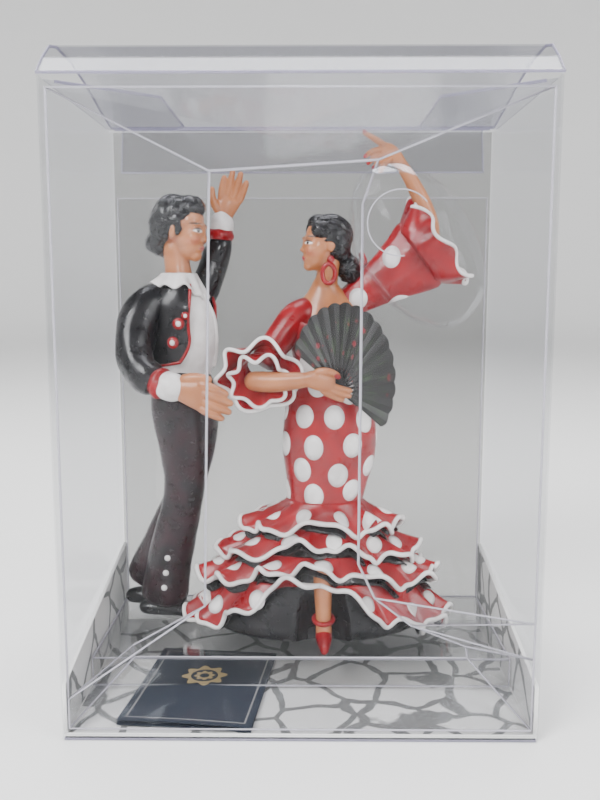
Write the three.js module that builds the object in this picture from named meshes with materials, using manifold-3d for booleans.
// A boxed souvenir couple: two cast and hand-painted resin dancers, held by a clear
// two-part tray in a folded clear carton with a printed card base and a loose leaflet.
// Millimetres, +Z up, front of the carton towards -Y. The origin is at the middle of the
// carton's footprint, on the surface that it stands on.
import * as THREE from 'three';
import { mergeVertices } from 'three/addons/utils/BufferGeometryUtils.js';
import Module from 'manifold-3d';

const wasm = await Module();
wasm.setup();

// ---- Driving dimensions ---------------------------------------------------------------
const coupleHeight = 156; // soles to the highest fingertip
const sideRoom = 2.5; // couple's widest reach to the carton's side, at the figures' level
const frontRoom = 27.5; // couple's front to the carton's outer front face
const backRoom = 4.5; // couple's back to the carton's outer back face
const headRoom = 7; // highest fingertip to the carton's top fold
const platformHeight = 12; // soles above the surface that the carton stands on
const sheet = 0.4; // clear carton sheet
const traySheet = 0.5; // clear tray sheet
const card = 0.5; // printed card base
const leafletCard = 0.4; // folded leaflet
const gap = 0.3; // clearance between sheets that lie together
const lidCrest = 11.5; // bulge of the lid above the carton's top fold
const tuckLength = 15; // tuck flap, from its fold
const tuckLean = 14; // degrees that the tucked flap leans inwards
const dustReach = 26; // dust flap, from its fold
const seamWidth = 12; // glued side seam
const seamStop = 22; // seam's and tray's stop below the top fold, clear of the tuck flap
const bottomFlapReach = 24; // bottom dust flaps
const cardFlapFront = 16; // printed side flaps, height at the front
const cardFlapBack = 31; // printed side flaps, height at the back
const leafletWidth = 38;
const leafletLength = 50;
const leafletTurn = -6; // degrees about Z

// ---- Sizes that follow from them ------------------------------------------------------
const designHeight = 156; // height that the couple's stations are written for
const coupleReach = 62.5; // widest reach at that height
const coupleDepth = 50; // depth at that height
const size = coupleHeight / designHeight;
const boxWidth = 2 * (coupleReach * size + sideRoom);
const boxDepth = coupleDepth * size + frontRoom + backRoom;
const boxHeight = platformHeight + coupleHeight + headRoom;
const frontY = -boxDepth / 2;
const backY = boxDepth / 2;
const wall = sheet + gap; // one wall and its clearance
const innerX = boxWidth / 2 - wall; // clear half width inside the walls
const coupleY = (frontRoom - backRoom) / 2; // couple's middle plane
const cardZ = 2 * wall; // top of the bottom panel and flaps, with their clearances
const leafletZ = cardZ + card + gap;
const looseZ = leafletZ + leafletCard + gap; // lowest place that clears the leaflet

const part = new THREE.Group();
part.name = 'boxed_dancers';
const couple = new THREE.Group();
couple.position.set(0, coupleY, platformHeight);
couple.scale.setScalar(size);
part.add(couple);

// ---- Materials ------------------------------------------------------------------------
const paint = (color, roughness = 0.3, metalness = 0) =>
  new THREE.MeshStandardMaterial({ color, roughness, metalness });
const clear = () =>
  new THREE.MeshStandardMaterial({ color: 0xdfe6ea, roughness: 0.08, transparent: true, opacity: 0.2 });

function add(group, name, geometry, material) {
  const mesh = new THREE.Mesh(geometry, material);
  mesh.name = name;
  group.add(mesh);
  return mesh;
}

// ---- Solid building -------------------------------------------------------------------
const rad = THREE.MathUtils.degToRad;

// Closed geometry from points and triangles, turned inside out if its volume is negative.
function closedGeometry(points, triangles) {
  let volume = 0;
  for (const [a, b, c] of triangles) {
    volume += points[a].dot(points[b].clone().cross(points[c]));
  }
  const faces = volume < 0 ? triangles.map(([a, b, c]) => [a, c, b]) : triangles;
  const geometry = new THREE.BufferGeometry();
  geometry.setFromPoints(points);
  geometry.setIndex(faces.flat());
  return geometry;
}

function quad(triangles, a, b, c, d) {
  triangles.push([a, b, c], [a, c, d]);
}

// Skin over a row of closed rings, with a flat cap at each end.
function loft(rings) {
  const sides = rings[0].length;
  const points = rings.flat();
  const triangles = [];
  for (let i = 0; i + 1 < rings.length; i += 1) {
    for (let j = 0; j < sides; j += 1) {
      const k = (j + 1) % sides;
      quad(triangles, i * sides + j, i * sides + k, (i + 1) * sides + k, (i + 1) * sides + j);
    }
  }
  for (const [start, turn] of [[0, 1], [(rings.length - 1) * sides, 0]]) {
    const middle = new THREE.Vector3();
    for (let j = 0; j < sides; j += 1) {
      middle.addScaledVector(points[start + j], 1 / sides);
    }
    points.push(middle);
    const hub = points.length - 1;
    for (let j = 0; j < sides; j += 1) {
      const k = (j + 1) % sides;
      triangles.push(turn ? [hub, start + k, start + j] : [hub, start + j, start + k]);
    }
  }
  return closedGeometry(points, triangles);
}

// Thin shell between two matching grids of points; wrap joins each row's end to its start.
function shell(outer, inner, wrap) {
  const rows = outer.length;
  const columns = outer[0].length;
  const points = [...outer.flat(), ...inner.flat()];
  const half = rows * columns;
  const triangles = [];
  const spans = wrap ? columns : columns - 1;
  for (let j = 0; j < spans; j += 1) {
    const k = (j + 1) % columns;
    for (let i = 0; i + 1 < rows; i += 1) {
      const a = i * columns;
      const b = (i + 1) * columns;
      quad(triangles, a + j, a + k, b + k, b + j);
      quad(triangles, half + a + j, half + b + j, half + b + k, half + a + k);
    }
    const last = (rows - 1) * columns;
    quad(triangles, j, half + j, half + k, k);
    quad(triangles, last + j, last + k, half + last + k, half + last + j);
  }
  if (!wrap) {
    for (let i = 0; i + 1 < rows; i += 1) {
      const a = i * columns;
      const b = (i + 1) * columns;
      quad(triangles, a, b, half + b, half + a);
      const e = columns - 1;
      quad(triangles, a + e, half + a + e, half + b + e, b + e);
    }
  }
  return closedGeometry(points, triangles);
}

// Upright body: each station is [x, y, z, half width, half depth].
function torso(stations, grow = 0, sides = 14) {
  const last = stations.length - 1;
  const rings = stations.map(([x, y, z, rx, ry], i) => {
    const lift = i === 0 ? -grow : i === last ? grow : 0;
    const sign = stations[last][2] > stations[0][2] ? 1 : -1;
    return ring(x, y, z + sign * lift, rx + grow, ry + grow, sides);
  });
  return loft(rings);
}

function ring(x, y, z, rx, ry, sides) {
  const points = [];
  for (let j = 0; j < sides; j += 1) {
    const a = (2 * Math.PI * j) / sides;
    points.push(new THREE.Vector3(x + rx * Math.cos(a), y + ry * Math.sin(a), z));
  }
  return points;
}

// Limb along its stations [x, y, z, radius, second radius], with rounded ends.
function limb(stations, grow = 0, sides = 10, ref = new THREE.Vector3(0, 1, 0)) {
  const centres = stations.map(([x, y, z]) => new THREE.Vector3(x, y, z));
  const last = centres.length - 1;
  const rings = [];
  const ringAt = (centre, along, r1, r2) => {
    const side = along.clone().cross(ref).normalize();
    const up = side.clone().cross(along).normalize();
    const points = [];
    for (let j = 0; j < sides; j += 1) {
      const a = (2 * Math.PI * j) / sides;
      const point = centre.clone();
      point.addScaledVector(side, r1 * Math.cos(a));
      point.addScaledVector(up, r2 * Math.sin(a));
      points.push(point);
    }
    return points;
  };
  for (let i = 0; i <= last; i += 1) {
    const from = centres[Math.max(i - 1, 0)];
    const to = centres[Math.min(i + 1, last)];
    const along = to.clone().sub(from).normalize();
    const r1 = stations[i][3] + grow;
    const r2 = (stations[i][4] ?? stations[i][3]) + grow;
    const end = centres[i].clone();
    const nose = 0.5 * Math.min(r1, r2);
    if (i === 0) {
      end.addScaledVector(along, -nose);
      rings.push(ringAt(end, along, 0.7 * r1, 0.7 * r2));
    }
    rings.push(ringAt(centres[i], along, r1, r2));
    if (i === last) {
      end.addScaledVector(along, nose);
      rings.push(ringAt(end, along, 0.7 * r1, 0.7 * r2));
    }
  }
  return loft(rings);
}

function ball(x, y, z, rx, ry, rz, grow = 0, across = 14, down = 8) {
  const geometry = new THREE.SphereGeometry(1, across, down);
  geometry.rotateX(Math.PI / 2);
  geometry.scale(rx + grow, ry + grow, rz + grow);
  geometry.translate(x, y, z);
  return geometry;
}

function block(x0, x1, y0, y1, z0, z1) {
  const geometry = new THREE.BoxGeometry(x1 - x0, y1 - y0, z1 - z0);
  geometry.translate((x0 + x1) / 2, (y0 + y1) / 2, (z0 + z1) / 2);
  return geometry;
}

// Flat-backed disc whose face looks along the given direction.
function stud(centre, facing, radius, thickness, sides = 10) {
  const geometry = new THREE.CylinderGeometry(radius * 0.75, radius, thickness, sides);
  const up = new THREE.Vector3(0, 1, 0);
  const turn = new THREE.Quaternion().setFromUnitVectors(up, facing.clone().normalize());
  geometry.applyQuaternion(turn);
  geometry.translate(centre.x, centre.y, centre.z);
  return geometry;
}

function solidOf(geometry) {
  const bare = geometry.clone();
  bare.deleteAttribute('normal');
  bare.deleteAttribute('uv');
  const merged = mergeVertices(bare, 1e-4);
  return new wasm.Manifold(new wasm.Mesh({
    numProp: 3,
    vertProperties: new Float32Array(merged.attributes.position.array),
    triVerts: new Uint32Array(merged.index.array),
  }));
}

function geometryOf(solid) {
  const mesh = solid.getMesh();
  const geometry = new THREE.BufferGeometry();
  geometry.setAttribute('position', new THREE.BufferAttribute(mesh.vertProperties, 3));
  geometry.setIndex(new THREE.BufferAttribute(mesh.triVerts, 1));
  return geometry;
}

function join(...geometries) {
  const solids = geometries.map(solidOf);
  return geometryOf(solids.reduce((whole, next) => whole.add(next)));
}

function cut(geometry, ...tools) {
  return geometryOf(tools.reduce((left, tool) => left.subtract(solidOf(tool)), solidOf(geometry)));
}

// Outline in the Y-Z plane, extruded along X from x0.
function extrudeAlongX(outline, x0, length) {
  const shape = new THREE.Shape(outline.map(([y, z]) => new THREE.Vector2(y, z)));
  const geometry = new THREE.ExtrudeGeometry(shape, { depth: length, bevelEnabled: false });
  const turn = new THREE.Matrix4().makeBasis(
    new THREE.Vector3(0, 1, 0),
    new THREE.Vector3(0, 0, 1),
    new THREE.Vector3(1, 0, 0),
  );
  geometry.applyMatrix4(turn);
  geometry.translate(x0, 0, 0);
  return geometry;
}

function extrudeAlongY(outline, y0, length) {
  const shape = new THREE.Shape(outline.map(([x, z]) => new THREE.Vector2(x, z)));
  const geometry = new THREE.ExtrudeGeometry(shape, { depth: length, bevelEnabled: false });
  geometry.rotateX(Math.PI / 2);
  geometry.translate(0, y0 + length, 0);
  return geometry;
}

// Sheet folded along a polyline in the Y-Z plane, thickened to the left of its direction.
function foldedOutline(line, thickness) {
  const offset = line.map(([y, z], i) => {
    const [py, pz] = line[Math.max(i - 1, 0)];
    const [ny, nz] = line[Math.min(i + 1, line.length - 1)];
    const before = new THREE.Vector2(y - py, z - pz).normalize();
    const after = new THREE.Vector2(ny - y, nz - z).normalize();
    const mean = before.add(after).normalize();
    const along = i === 0 || i === line.length - 1 ? mean : after;
    const cosine = Math.max(Math.abs(mean.dot(along)), 0.5);
    return [y - (mean.y * thickness) / cosine, z + (mean.x * thickness) / cosine];
  });
  return [...line, ...offset.reverse()];
}

// ---- Carton ---------------------------------------------------------------------------
add(part, 'front_panel', block(-boxWidth / 2, boxWidth / 2, frontY, frontY + sheet, 0, boxHeight), clear());
add(part, 'back_panel', block(-boxWidth / 2, boxWidth / 2, backY - sheet, backY, 0, boxHeight), clear());
for (const [name, side] of [['left_panel', -1], ['right_panel', 1]]) {
  const outer = (side * boxWidth) / 2;
  const inner = outer - side * sheet;
  const x0 = Math.min(outer, inner);
  add(part, name, block(x0, x0 + sheet, frontY + wall, backY - wall, 0, boxHeight), clear());
}
add(part, 'bottom_panel', block(-innerX, innerX, frontY + wall, backY - wall, 0, sheet), clear());
for (const [name, side] of [['bottom_flap_left', -1], ['bottom_flap_right', 1]]) {
  const outer = side * innerX;
  const inner = outer - side * bottomFlapReach;
  const x0 = Math.min(outer, inner);
  const x1 = Math.max(outer, inner);
  const flap = block(x0, x1, frontY + wall, backY - wall, wall, wall + sheet);
  add(part, name, flap, clear());
}
const seamY = backY - wall - sheet;
const seamTop = boxHeight - seamStop;
const seam = block(-innerX, -innerX + seamWidth, seamY, seamY + sheet, cardZ, seamTop);
add(part, 'glued_seam', seam, clear());

// ---- Lid and its flaps ----------------------------------------------------------------
const foldBackY = backY - wall - gap; // fold line between the lid and the tuck flap
const foldRise = 1; // the sprung lid holds that fold just above the back panel
const lidRun = foldBackY - frontY;
// Spring curve of the lid: steep from the front fold to its crest, then a long fall.
const lidShape = [
  [0, 0], [0.07, 0.45], [0.15, 0.86], [0.23, 1], [0.4, 0.96], [0.6, 0.72], [0.8, 0.38], [1, 0.087],
];
const lidLine = lidShape.map(([along, rise]) => [
  frontY + sheet + along * (lidRun - sheet),
  boxHeight + gap + rise * (lidCrest - gap - sheet),
]);
const lid = extrudeAlongX(foldedOutline(lidLine, sheet), -boxWidth / 2, boxWidth);
add(part, 'lid_panel', lid, clear());

const lean = rad(tuckLean);
const tuckTopY = foldBackY + gap;
const tuckTopZ = boxHeight + foldRise - gap;
const tuckLine = [
  [tuckTopY - tuckLength * Math.sin(lean), tuckTopZ - tuckLength * Math.cos(lean)],
  [tuckTopY, tuckTopZ],
];
const tuckSideRoom = 4;
const tuckWidth = boxWidth - 2 * tuckSideRoom;
add(part, 'tuck_flap', extrudeAlongX(foldedOutline(tuckLine, sheet), -tuckWidth / 2, tuckWidth), clear());

// Dust flaps are cut back towards the lid's fold, so that the lid always clears them.
const dustFrontY = frontY + 4;
const dustBackY = backY - 9;
const dustTaper = dustReach / 1.3;
for (const [name, side] of [['dust_flap_left', -1], ['dust_flap_right', 1]]) {
  const corner = 5;
  const outline = [
    [0, dustFrontY], [dustReach, dustFrontY + dustTaper], [dustReach, dustBackY - corner],
    [dustReach - corner, dustBackY], [0, dustBackY],
  ];
  const shape = new THREE.Shape(outline.map(([x, y]) => new THREE.Vector2(side * (innerX - x), y)));
  const geometry = new THREE.ExtrudeGeometry(shape, { depth: sheet, bevelEnabled: false });
  geometry.translate(0, 0, boxHeight - wall);
  add(part, name, geometry, clear());
}

// ---- Printed card base and leaflet ----------------------------------------------------
const printed = () => paint(0xc8c8c8, 0.55);
const cardFrontY = frontY + wall;
const cardBackY = backY - wall - wall;
add(part, 'card_floor', block(-innerX, innerX, cardFrontY, cardBackY, cardZ, cardZ + card), printed());
const flapFoot = cardZ + card + gap;
for (const [name, side] of [['card_flap_left', -1], ['card_flap_right', 1]]) {
  const outline = [
    [cardFrontY, flapFoot], [cardBackY, flapFoot], [cardBackY, cardFlapBack], [cardFrontY, cardFlapFront],
  ];
  const x0 = side < 0 ? -innerX : innerX - card;
  add(part, name, extrudeAlongX(outline, x0, card), printed());
}
const leaflet = new THREE.BoxGeometry(leafletWidth, leafletLength, leafletCard);
leaflet.translate(leafletWidth / 2, leafletLength / 2, leafletCard / 2);
const leafletMesh = add(part, 'leaflet', leaflet, paint(0x1d2340, 0.35));
const leafletX = -innerX + card + leafletWidth / 3;
leafletMesh.rotation.z = rad(leafletTurn);
leafletMesh.position.set(leafletX, cardFrontY + gap - leafletWidth * Math.sin(rad(leafletTurn)), leafletZ);

// ---- Clear tray -----------------------------------------------------------------------
// Rear half: a front lip, the platform that the soles stand on, and the back wall.
const trayReach = innerX - card - gap - sheet;
const trayBackY = backY - wall - wall - gap;
const trayTop = boxHeight - seamStop;
const coupleFrontY = coupleY - (coupleDepth / 2) * size;
const lipY = coupleFrontY - gap;
const platformZ = platformHeight - gap;
const rearOutline = [
  [lipY, looseZ], [lipY, platformZ], [trayBackY - traySheet, platformZ], [trayBackY - traySheet, trayTop],
  [trayBackY, trayTop], [trayBackY, platformZ - traySheet], [lipY + traySheet, platformZ - traySheet],
  [lipY + traySheet, looseZ],
];
add(part, 'tray_rear', extrudeAlongX(rearOutline, -trayReach, 2 * trayReach), clear());

// Front half: a flange against the front panel, sloping walls, and a recessed face that
// follows the couple: wide over the skirt, then narrow between the two dancers.
const flangeY = frontY + wall + gap;
const faceY = lipY - gap - traySheet;
const facePoints = [
  [-50, 0.4], [-50.5, 4], [-28.5, 16.5], [-25.5, 143], [21.5, 146],
  [17.3, 134], [17, 29.6], [22, 19], [33, 10.5], [49.5, 4], [50, 0.4],
].map(([x, z]) => [x * size, platformHeight + z * size]);
const flangeReach = innerX - card - gap - traySheet;
const flangeTop = boxHeight - 3;
const flangeFoot = looseZ + gap;
const flangeAt = (share) => flangeFoot + (flangeTop - flangeFoot) * share;
const flangePoints = [
  [-flangeReach, flangeFoot], [-flangeReach, flangeAt(0.05)], [-flangeReach, flangeAt(0.22)],
  [-flangeReach, flangeTop], [flangeReach, flangeTop], [flangeReach, flangeAt(0.85)],
  [flangeReach, flangeAt(0.25)], [flangeReach, flangeAt(0.18)], [flangeReach, flangeAt(0.12)],
  [flangeReach, flangeAt(0.05)], [flangeReach, flangeFoot],
];
function frontTray() {
  const middleZ = (flangeTop + flangeFoot) / 2;
  const front = [
    ...flangePoints.map(([x, z]) => new THREE.Vector3(x, flangeY, z)),
    ...facePoints.map(([x, z]) => new THREE.Vector3(x, faceY, z)),
  ];
  const spread = 0.3; // the rear skin also stands outwards, so steep walls keep a thickness
  const rear = front.map((p) => new THREE.Vector3(
    p.x + spread * Math.sign(p.x),
    p.y + traySheet,
    p.z + spread * Math.sign(p.z - middleZ),
  ));
  const count = flangePoints.length;
  const half = front.length;
  const outline = facePoints.map(([x, z]) => new THREE.Vector2(x, z));
  const face = THREE.ShapeUtils.triangulateShape(outline, [])
    .map((corners) => corners.map((index) => index + count));
  const walls = [];
  for (let i = 0; i < count; i += 1) {
    const k = (i + 1) % count;
    quad(walls, i, k, count + k, count + i);
  }
  // Triangles that look away from the front panel are wound the other way round.
  const turned = (triangles) => {
    const [a, b, c] = triangles[0].map((index) => front[index]);
    const away = b.clone().sub(a).cross(c.clone().sub(a)).y > 0;
    return away ? triangles.map(([p, q, r]) => [p, r, q]) : triangles;
  };
  const turnedWalls = turned(walls);
  const fronts = [...turned(face), ...turnedWalls];
  const triangles = [...fronts, ...fronts.map(([a, b, c]) => [a + half, c + half, b + half])];
  for (let i = 0; i < count; i += 1) {
    const k = (i + 1) % count;
    const edge = [];
    quad(edge, i, half + i, half + k, k);
    const forward = turnedWalls.some(([a, b, c]) => (
      (a === i && b === k) || (b === i && c === k) || (c === i && a === k)
    ));
    triangles.push(...edge.map(([a, b, c]) => (forward ? [a, b, c] : [a, c, b])));
  }
  return closedGeometry([...front, ...rear], triangles);
}
add(part, 'tray_front', frontTray(), clear());

// ---- Male dancer ----------------------------------------------------------------------
// Stations are [x, y, z, half width, half depth] in the couple's own frame: the soles are
// at z = 0, and the pieces are cast and painted parts that meet with a hairline gap.
const joint = 0.3;
const skin = () => paint(0xd99a6c, 0.32);
const black = () => paint(0x17171b, 0.28);
const white = () => paint(0xf2efe9, 0.3);
const red = () => paint(0xb3141e, 0.27);

const manNeck = [[-39, 7.5, 108.6, 4, 3.8], [-38.6, 7.2, 114, 3.6, 3.5], [-37.6, 6.4, 123, 3.5, 3.4]];
const manSkull = (grow = 0) => ball(-37.6, 5.5, 131, 7.4, 6.2, 8, grow);
const manJaw = (grow = 0) => ball(-33.8, 5.5, 126, 5.4, 4.6, 5.4, grow, 12, 8);
const manNose = limb([[-30.6, 5.5, 131.5, 0.8], [-28.6, 5.5, 128.4, 1.1]], 0, 6);
const manNearEar = ball(-38.4, -0.5, 128.6, 1.6, 0.9, 2.4, 0, 8, 6);
const manHeadParts = (grow = 0) => [manSkull(grow), manJaw(grow), torso(manNeck, grow, 12)];
add(couple, 'man_head', join(...manHeadParts(), manNose, manNearEar), skin());

const manHairMass = join(
  ball(-39.4, 5.5, 132.8, 8.6, 7.6, 8, 0, 16, 10),
  ball(-44.4, 5.5, 124.5, 5.4, 6.6, 6.4, 0, 14, 8),
);
const faceWindow = block(-36.2, -25, -8, 20, 118, 134.6);
const earWindow = block(-40.6, -34, -8, 0.6, 118, 131.6);
const hairHeadTools = [...manHeadParts(joint), faceWindow, earWindow];
add(couple, 'man_hair', cut(manHairMass, ...hairHeadTools), black());

const chest = (grow = 0) => torso([
  [-38, 6.5, 85.3, 8.2, 6.8], [-37.4, 6.3, 93, 9, 7.6], [-37.8, 6.2, 100, 9.8, 8],
  [-38.6, 6.6, 105, 10.2, 7.6], [-39, 7, 108.2, 7, 6],
], grow);
add(couple, 'man_shirt', chest(), white());

const collarRows = (lift) => [[5.4, 108.7], [6, 111.2], [7.6, 113.2]].map(([reach, z], row) => {
  const points = [];
  const count = 28;
  for (let j = 0; j < count; j += 1) {
    const a = (2 * Math.PI * j) / count;
    const wave = row === 2 ? 0.5 * Math.sin(7 * a) : 0;
    const r = reach + wave - lift;
    points.push(new THREE.Vector3(-39 + r * Math.cos(a), 7.2 + 0.92 * r * Math.sin(a), z + 0.8 * wave));
  }
  return points;
});
add(couple, 'man_collar', shell(collarRows(0), collarRows(0.8), true), white());

const jacketThickness = 1.5;
const jacketOpening = [
  [-38.5, 112], [-34, 101.4], [-33.6, 94], [-35.6, 88.4], [-42.5, 84], [-44, 80], [-20, 80], [-20, 112],
];
const jacketFront = extrudeAlongY(jacketOpening, -12, 40);
const jacketNeck = torso([[-39, 7.2, 104, 9, 8], [-39, 7.2, 112, 9, 8]]);
add(couple, 'man_jacket', cut(chest(jacketThickness), chest(joint), jacketFront, jacketNeck), black());

const manSash = torso([[-38.2, 6.7, 79.4, 9, 7.2], [-38.1, 6.6, 82, 8.7, 7], [-38, 6.5, 84.9, 8.6, 7.2]]);
const jacketSpace = cut(chest(jacketThickness + joint), jacketFront);
add(couple, 'man_waistband', cut(manSash, chest(joint), jacketSpace), black());

const nearLeg = [
  [-38.8, 4.2, 64, 7.8, 7.2], [-38.2, 4.6, 54, 6.9, 6.6], [-38.6, 5.4, 44, 6, 5.8],
  [-41.4, 6.4, 33, 6.4, 6.2], [-44.4, 7.2, 22, 7, 6.6], [-46, 7.6, 12, 7.2, 6.8],
  [-46.4, 7.6, 4.4, 7.4, 6.8],
];
const farLeg = [
  [-34.5, 10.5, 64, 6.4, 6.4], [-37, 12.2, 48, 5.6, 5.6], [-45, 15, 30, 5.2, 5.2],
  [-52.4, 16.8, 16, 5.6, 5.4], [-55.6, 17.5, 10, 5.6, 5],
];
const hips = torso([[-38.4, 7.2, 62, 9.4, 8], [-38.4, 7.4, 72, 9.8, 8.2], [-38.4, 7, 79, 8.8, 7.2]]);
const trousers = join(hips, torso(nearLeg), torso(farLeg, 0, 12));
add(couple, 'man_trousers', trousers, paint(0x1f1519, 0.3));

const nearBootLine = [[-50.6, 9, 2, 1.7, 2.2], [-45.6, 8, 2.1, 1.8, 2.8], [-39.6, 6.6, 1.9, 1.6, 2.4]];
const nearBoot = limb(nearBootLine, 0, 12);
add(couple, 'man_boot_near', nearBoot, black());
const farBootLine = [
  [-57.2, 17.5, 6.4, 2.3, 2.3], [-56, 17.5, 2.8, 2.3, 2.4], [-50, 17.3, 2.2, 1.9, 2], [-44, 17.1, 1.9, 1.6, 1.7],
];
const farBoot = limb(farBootLine, 0, 12);
add(couple, 'man_boot_far', farBoot, black());

const jacketRoom = chest(jacketThickness + joint);
const nearSleeve = [
  [-48, 2, 105.6, 4.6], [-51.2, -1, 98.5, 5.2], [-51.8, -5.2, 89.6, 5],
  [-48.4, -9.4, 84.2, 4.6], [-43.4, -12.2, 82, 3.9],
];
add(couple, 'man_sleeve_near', cut(limb(nearSleeve, 0, 12), jacketRoom), black());
const nearCuff = [[-40.7, -13.5, 81.3, 3.7], [-38.8, -14.4, 80.8, 3.4]];
add(couple, 'man_cuff_near', cut(limb(nearCuff, 0, 12), limb(nearSleeve, joint, 12)), white());
const nearFingers = [0, 1, 2, 3].map((i) => limb([
  [-29.2, -18.4, 81.6 - 2.1 * i, 1.05],
  [-25.4, -19.4, 80.6 - 2.2 * i, 1],
  [-22.2 - 0.5 * i, -19.6, 79.4 - 2.2 * i, 0.85],
], 0, 6));
const nearPalm = [[-36.2, -15.6, 80.1, 2.4, 2], [-33.2, -17, 79.4, 3.4, 2.1], [-29.6, -18.2, 78.4, 4.2, 1.8]];
const nearThumb = limb([[-32.8, -17.2, 82, 1.2], [-29.4, -18.6, 83.8, 1], [-26.6, -19.4, 83.8, 0.85]], 0, 6);
const nearHand = join(limb(nearPalm, 0, 10), ...nearFingers, nearThumb);
add(couple, 'man_hand_near', cut(nearHand, limb(nearCuff, joint, 12)), skin());

const farSleeve = [
  [-33, 14, 104, 4.4], [-31, 16, 110, 4.2], [-28.6, 15.8, 119, 3.6], [-26.8, 15, 126.4, 3.3],
];
add(couple, 'man_sleeve_far', cut(limb(farSleeve, 0, 12), jacketRoom), black());
const farCuff = limb([[-26.4, 14.9, 130, 3.3], [-26.1, 14.9, 131.8, 3.1]], 0, 12);
add(couple, 'man_cuff_far', farCuff, white());
const farFingers = [4, 5.4, 5, 3.6].map((length, i) => {
  const root = new THREE.Vector3(-25.8 + 1.75 * i, 14.8 + 0.2 * i, 141.2 - 0.3 * i);
  return limb([
    [root.x, root.y, root.z, 1],
    [root.x + 0.5, root.y, root.z + length * 0.55, 0.95],
    [root.x + 0.9, root.y, root.z + length, 0.75],
  ], 0, 6);
});
const farPalmLine = [
  [-25.8, 14.8, 135.4, 1.9, 1.7], [-25, 14.8, 138, 3, 1.6], [-23.4, 14.8, 140.6, 3.7, 1.5],
];
const farPalm = limb(farPalmLine, 0, 10);
const farThumb = limb([[-26.6, 14.2, 137.4, 1.1], [-28.8, 13.8, 140.4, 1], [-29, 13.6, 142.8, 0.8]], 0, 6);
add(couple, 'man_hand_far', join(farPalm, ...farFingers, farThumb), skin());

// Studs sit just clear of the jacket front.
const studPlaces = [[-36, -3.5, 102.2], [-38.4, -3.8, 99], [-40.8, -3.3, 93.8]];
const studRadius = 1.1;
const studThickness = 0.6;
studPlaces.forEach(([x, y, z], i) => {
  const face = new THREE.Vector3(0.25, -1, 0);
  const seat = new THREE.Vector3(x, y, z);
  add(couple, `jacket_stud_${i + 1}`, stud(seat, face, studRadius, studThickness), red());
});

// ---- Female dancer --------------------------------------------------------------------
const womanNeck = [
  [6.5, 1, 103.2, 8.4, 4.8], [6.9, 0.8, 106, 5.8, 4.2], [7.3, 0.4, 109.5, 3.4, 3.2], [7.2, -0.4, 118, 3, 3],
];
const womanSkull = (grow = 0) => ball(7, -1.5, 125.6, 7.2, 6, 7.4, grow);
const womanJaw = (grow = 0) => ball(3.6, -1.5, 120.6, 4.8, 4.2, 5, grow, 12, 8);
const womanNose = limb([[0.2, -1.5, 125.8, 0.7], [-1.4, -1.5, 122.8, 0.95]], 0, 6);
const womanHeadParts = (grow = 0) => [womanSkull(grow), womanJaw(grow), torso(womanNeck, grow, 14)];
add(couple, 'woman_head', join(...womanHeadParts(), womanNose), skin());

const womanCap = ball(8.8, -1.5, 126.6, 7.6, 7, 7.4, 0, 16, 10);
const browCut = extrudeAlongY([[0.5, 136], [9.6, 119], [6, 108], [-8, 108], [-8, 136]], -14, 28);
add(couple, 'woman_hair', cut(womanCap, ...womanHeadParts(joint), browCut), black());
const bunMass = (grow = 0) => ball(14.6, 1.6, 116.6, 4.2, 4.6, 4.8, grow, 12, 8);
const hairSpace = ball(8.8, -1.5, 126.6, 7.9, 7.3, 7.7, 0, 16, 10);
add(couple, 'woman_bun', cut(bunMass(), ...womanHeadParts(joint), hairSpace), black());
const flowerHeart = new THREE.Vector3(19.8, 2.2, 119.4);
const petals = [0, 1, 2, 3, 4].map((i) => {
  const a = (2 * Math.PI * i) / 5;
  const centre = flowerHeart.clone().add(new THREE.Vector3(0.07 * i, 2 * Math.cos(a), 2 * Math.sin(a)));
  return ball(centre.x, centre.y, centre.z, 1.1, 1.6, 1.6, 0, 7, 4);
});
const flowerMass = join(ball(flowerHeart.x, flowerHeart.y, flowerHeart.z, 1.4, 1.4, 1.4, 0, 6, 4), ...petals);
add(couple, 'woman_flower', cut(flowerMass, bunMass(joint), hairSpace), red());
const hoop = new THREE.TorusGeometry(2.3, 0.6, 8, 20);
hoop.scale(0.85, 1.2, 1);
hoop.rotateX(Math.PI / 2);
hoop.translate(7.8, -8.6, 114.8);
add(couple, 'woman_earring', hoop, red());

const dressStations = [
  [7.2, 0.6, 102.8, 9.4, 5.7], [6.8, -0.4, 98, 10.2, 7.1], [6.6, -0.8, 94, 10, 7.5], [7.6, 0, 86, 8.4, 6.6],
  [8.6, 0.2, 79, 10.4, 8.2], [9.4, 0.2, 71.5, 13, 10], [9.4, 0, 63.5, 14.4, 11.2], [9, 0, 55.5, 13.4, 10.6],
  [8, -0.5, 46, 11.2, 9.4], [7.6, -1, 36.4, 10.4, 9.2],
];
const dress = (grow = 0) => torso(dressStations, grow, 18);
add(couple, 'woman_dress', dress(), red());

// Skirt: a cast cone carries four wavy flounces; each starts on the one below's cone.
const skirtX = 4.8;
const coneStations = [
  [7, -0.6, 35.8, 15, 12], [6.6, -0.4, 27, 21.6, 14.6], [5.6, 0, 18, 28.6, 17.4],
  [skirtX, 0, 8, 35, 20], [skirtX, 0, 0.2, 38, 21.4],
];
const cone = torso(coneStations, 0, 24);
const legRecess = block(-1.8, 15.8, -30, -14.4, -1, 15.9);
add(couple, 'underskirt', cut(cone, legRecess), black());

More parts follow.
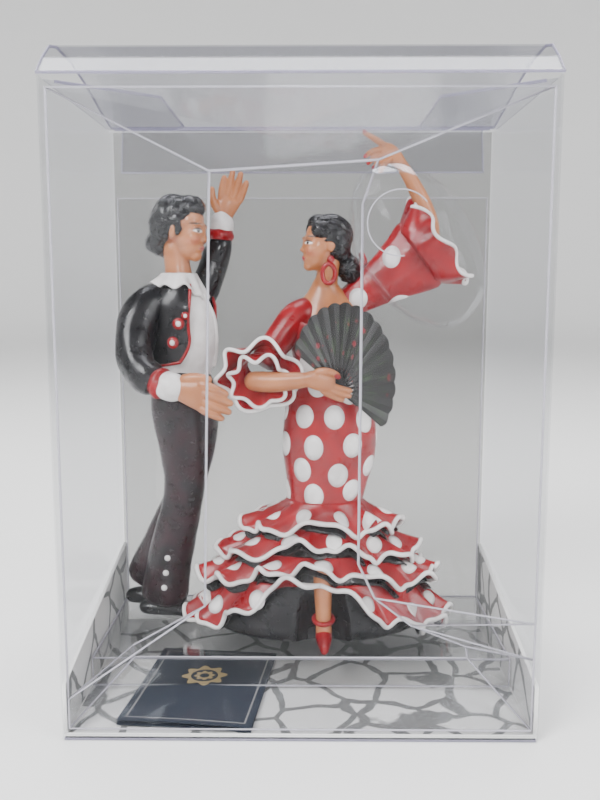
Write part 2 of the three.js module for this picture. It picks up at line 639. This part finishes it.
function flounce({ top, hem, waves, swell, from = 0, to = 2 * Math.PI, thickness = 1 }) {
  const whole = to - from > 6.28;
  const count = waves * 4;
  const columns = whole ? count : count + 1;
  const grid = (inset) => [0, 0.35, 0.7, 1].map((t) => {
    const points = [];
    for (let j = 0; j < columns; j += 1) {
      const a = from + ((to - from) * j) / count;
      const wave = swell * t * t * Math.sin((waves * 2 * Math.PI * j) / count);
      const bow = t ** 0.85;
      const rx = top[3] + (hem[3] - top[3]) * bow + wave - inset;
      const ry = top[4] + (hem[4] - top[4]) * bow + 0.8 * wave - inset;
      const x = top[0] + (hem[0] - top[0]) * t;
      const y = top[1] + (hem[1] - top[1]) * t;
      const z = top[2] + (hem[2] - top[2]) * t + 0.5 * wave * t;
      points.push(new THREE.Vector3(x + rx * Math.cos(a), y + ry * Math.sin(a), z - 0.4 * inset));
    }
    return points;
  });
  return shell(grid(0), grid(thickness), whole);
}
const flounces = [
  { top: [7.8, -1, 43.4, 12.2, 10.8], hem: [6.4, 0, 35.6, 26, 16.6], waves: 8, swell: 1.3 },
  { top: [7, -0.6, 34.4, 17.4, 13.9], hem: [5.4, 0, 26.4, 33, 19.4], waves: 10, swell: 1.3 },
  { top: [6.6, -0.4, 25.4, 24.4, 16.7], hem: [5, 0, 17.8, 39.5, 21.8], waves: 12, swell: 1.5 },
  {
    top: [5.6, 0, 16.6, 31.2, 19.4],
    hem: [skirtX, 0, 3.6, 43.4, 23.6],
    waves: 14,
    swell: 1.4,
    from: rad(-72),
    to: rad(256),
  },
];
flounces.forEach((tier, i) => {
  add(couple, `flounce_${i + 1}`, flounce(tier), red());
});

add(couple, 'woman_leg', limb([[7, -16.9, 13.6, 1.9], [7, -17.8, 9, 1.6]], 0, 10), skin());
const shoe = join(
  limb([[7, -18, 6.6, 1.9, 1.8], [7.1, -19.4, 4.2, 2.2, 2], [7.2, -21.4, 2.2, 2.1, 1.4]], 0, 12),
  block(6.3, 7.7, -17.9, -16.7, 0.3, 6),
);
add(couple, 'woman_shoe', shoe, red());

// Right arm, sleeve and two wavy cuffs that open towards the viewer.
const womanSleeveNear = [[-3.8, -2.8, 102.2, 5], [-8.2, -5.6, 95.8, 4.8], [-12.4, -8.6, 89.4, 4.8]];
const upperBody = [torso(womanNeck, joint, 14), dress(joint)];
add(couple, 'woman_sleeve_near', cut(limb(womanSleeveNear, 0, 12), ...upperBody), red());
function cuffFrill(centre, axis, rows, waves, swell, thickness) {
  const along = axis.clone().normalize();
  const side = along.clone().cross(new THREE.Vector3(0, 0, 1)).normalize();
  const up = side.clone().cross(along).normalize();
  const count = waves * 4;
  const grid = (inset) => rows.map(([run, reachSide, reachUp], row) => {
    const t = row / (rows.length - 1);
    const points = [];
    for (let j = 0; j < count; j += 1) {
      const a = (2 * Math.PI * j) / count;
      const wave = swell * t * Math.sin(waves * a);
      const point = centre.clone().addScaledVector(along, run + 0.4 * wave * t + 0.4 * inset);
      point.addScaledVector(side, (reachSide + wave - inset) * Math.cos(a));
      point.addScaledVector(up, (reachUp + wave - inset) * Math.sin(a));
      points.push(point);
    }
    return points;
  });
  return shell(grid(0), grid(thickness), true);
}
const nearElbow = new THREE.Vector3(-13.6, -12.4, 84.6);
const nearAxis = new THREE.Vector3(-0.05, -1, -0.08);
const outerFrill = [[-1.6, 6.2, 5.8], [1.6, 10.6, 8.8], [3.4, 12.4, 10.2]];
const innerFrill = [[2.4, 4.6, 4.2], [4.2, 7, 5.8], [5.8, 8.6, 6.8]];
const nearSleeveSpace = limb(womanSleeveNear, joint, 12);
const nearOuter = cuffFrill(nearElbow, nearAxis, outerFrill, 7, 1, 0.9);
add(couple, 'sleeve_frill_near_outer', cut(nearOuter, ...upperBody, nearSleeveSpace), red());
const forearmStations = [
  [-14.4, -14.8, 83.6, 2.6], [-9, -17.2, 83.4, 2.7], [-3, -19.4, 83.6, 2],
  [2, -20.4, 84, 2.2, 1.8], [7, -21, 83.6, 3, 1.4],
];
const forearmSpace = limb(forearmStations, joint, 10);
const nearInner = cuffFrill(nearElbow, nearAxis, innerFrill, 6, 0.8, 0.8);
add(couple, 'sleeve_frill_near_inner', cut(nearInner, forearmSpace), red());
const holdingFingers = [0, 1, 2].map((i) => limb([
  [7.6, -21.4, 85 - 1.9 * i, 0.95],
  [10.8, -22, 83.8 - 1.9 * i, 0.85],
  [13.2, -21.6, 82.4 - 1.9 * i, 0.7],
], 0, 6));
const holdingThumb = limb([[6.2, -21, 86, 1], [9.2, -21.6, 87, 0.9], [11.6, -21.8, 86.2, 0.75]], 0, 6);
const forearmNear = join(limb(forearmStations, 0, 10), ...holdingFingers, holdingThumb);
const fanPivot = new THREE.Vector3(11.4, -17.2, 80.6);
const fanSquash = 0.68; // the open fan is turned, so it looks narrower than it is tall
add(couple, 'woman_forearm_near', cut(forearmNear, fanLeaf(joint), fanGuard(joint)), skin());

// Folding fan, opened: a pleated leaf on its sticks, held by the pivot end.
function fanPoint(radius, angle, away) {
  const lean = 0.08; // the leaf's outer edge leans towards the dress
  const across = fanSquash * radius * Math.cos(angle);
  return new THREE.Vector3(
    fanPivot.x + across,
    fanPivot.y + away + lean * across,
    fanPivot.z + radius * Math.sin(angle),
  );
}
function fanLeaf(grow = 0) {
  const pleats = 14;
  const start = rad(150);
  const end = rad(-31);
  const thickness = 0.5;
  const grid = (away) => [8 - grow, 15, 24 + grow].map((radius, row) => {
    const points = [];
    for (let j = 0; j <= 2 * pleats; j += 1) {
      const around = j / (2 * pleats);
      const angle = start + (end - start) * around;
      const crown = 0.88 + 0.14 * Math.sin(Math.PI * around);
      const fold = (j % 2 === 0 ? -0.35 : 0.35) * (0.4 + 0.3 * row);
      const scallop = row === 2 && j % 2 === 0 ? -0.7 : 0;
      points.push(fanPoint((radius + scallop) * crown, angle, away + fold));
    }
    return points;
  });
  return shell(grid(-thickness / 2 - grow), grid(thickness / 2 + grow), false);
}
function fanGuard(grow = 0) {
  const { x, y, z } = fanPivot;
  return torso([[x, y, z - 0.8, 1.4, 1], [x, y, z + 7.2, 3, 0.9]], grow, 8);
}
add(couple, 'fan_leaf', fanLeaf(), black());
add(couple, 'fan_sticks', cut(fanGuard(), fanLeaf(joint)), black());

// Left arm: a wide sleeve rises to its frilled mouth, and the bare forearm bends back over.
const womanSleeveRaised = [
  [15.2, 4, 101.4, 5], [22, 4, 108.6, 5.6, 5.2], [29, 3.2, 114.8, 7.4, 5.8], [36.4, 2.4, 121, 10.6, 6.8],
];
const raisedMouth = new THREE.Vector3(38.4, 2.2, 122.8);
const raisedAxis = new THREE.Vector3(0.76, -0.06, 0.65);
const raisedOuter = [[0.4, 7, 11.6], [2.4, 7.6, 13], [4.2, 8.2, 13.8]];
const raisedInner = [[2.6, 5.4, 8.4], [4.4, 6, 9.6], [6, 6.4, 10.4]];
const headSpace = [...womanHeadParts(joint), bunMass(joint)];
const raisedSleeve = cut(limb(womanSleeveRaised, 0, 14), ...upperBody, ...headSpace);
add(couple, 'woman_sleeve_raised', raisedSleeve, red());
const sleeveSpace = limb(womanSleeveRaised, joint, 14);
const raisedOuterFrill = cuffFrill(raisedMouth, raisedAxis, raisedOuter, 8, 0.9, 0.9);
add(couple, 'sleeve_frill_raised_outer', cut(raisedOuterFrill, sleeveSpace), red());
const raisedInnerFrill = cuffFrill(raisedMouth, raisedAxis, raisedInner, 7, 0.7, 0.8);
add(couple, 'sleeve_frill_raised_inner', cut(raisedInnerFrill, sleeveSpace), red());
const raisedArm = [
  [42.2, 2, 126.8, 2.8], [40.8, 1.8, 133, 2.8], [37.2, 1.4, 140, 2.4],
  [33.6, 1, 144.6, 2], [31, 0.6, 147.6, 1.8, 2],
];
const raisedPalm = [[31, 0.6, 147.6, 1.9, 1.8], [28, 0, 149.8, 2.8, 1.6], [25.6, -0.6, 150.8, 2.6, 1.4]];
const pointing = [[25.8, -0.8, 152, 1], [22.4, -1.4, 153.8, 0.85], [19.4, -2, 155.2, 0.65]];
const curledFingers = [0, 1, 2].map((i) => limb([
  [25.6, -0.8, 150.6 - 1.4 * i, 0.95],
  [22.6 + 0.6 * i, -1.4, 149.8 - 1.7 * i, 0.85],
  [20.8 + 1.1 * i, -1.4, 147.8 - 1.5 * i, 0.7],
], 0, 6));
const raisedHand = [limb(raisedPalm, 0, 10), limb(pointing, 0, 6), ...curledFingers];
add(couple, 'woman_forearm_raised', join(limb(raisedArm, 0, 10), ...raisedHand), skin());

export default part;
